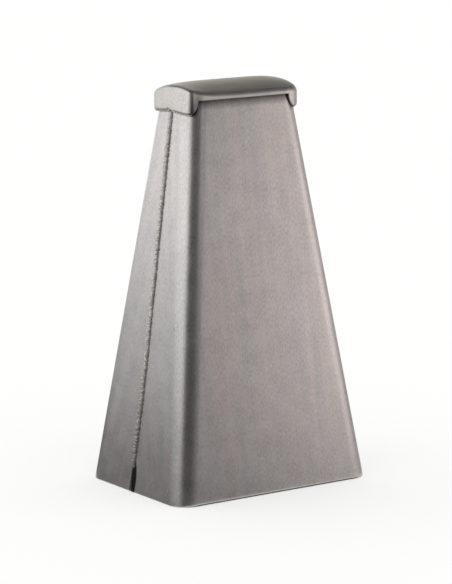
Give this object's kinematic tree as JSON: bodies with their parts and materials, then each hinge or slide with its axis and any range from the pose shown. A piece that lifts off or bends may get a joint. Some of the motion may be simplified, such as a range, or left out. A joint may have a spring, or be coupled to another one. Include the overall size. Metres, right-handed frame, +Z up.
{
  "type": "hand bell",
  "caption": "Tapered flat-sided hand bell of brushed steel sheet, with welded side seams and a domed pressed cap, held by its cap and struck with a stick.",
  "frame": {"origin": "centre of the mouth, in the plane that the rim rests on", "axes": "+Z up from the mouth to the cap, +X along the mouth's width, -Y out of the front"},
  "size_m": [0.1146, 0.0844, 0.1998],
  "materials": {
    "shell_steel": "bare sheet, brushed along the bell's height",
    "cap_steel": "bare pressed sheet, brushed along the cap's length",
    "weld_metal": "as welded, rippled and dulled by heat"
  },
  "bodies": {
    "root": {"front_half_shell": "shell_steel", "rear_half_shell": "shell_steel", "cap": "cap_steel", "left_seam_weld": "weld_metal", "right_seam_weld": "weld_metal", "left_skirt_weld": "weld_metal", "right_skirt_weld": "weld_metal"}
  },
  "joints": []
}
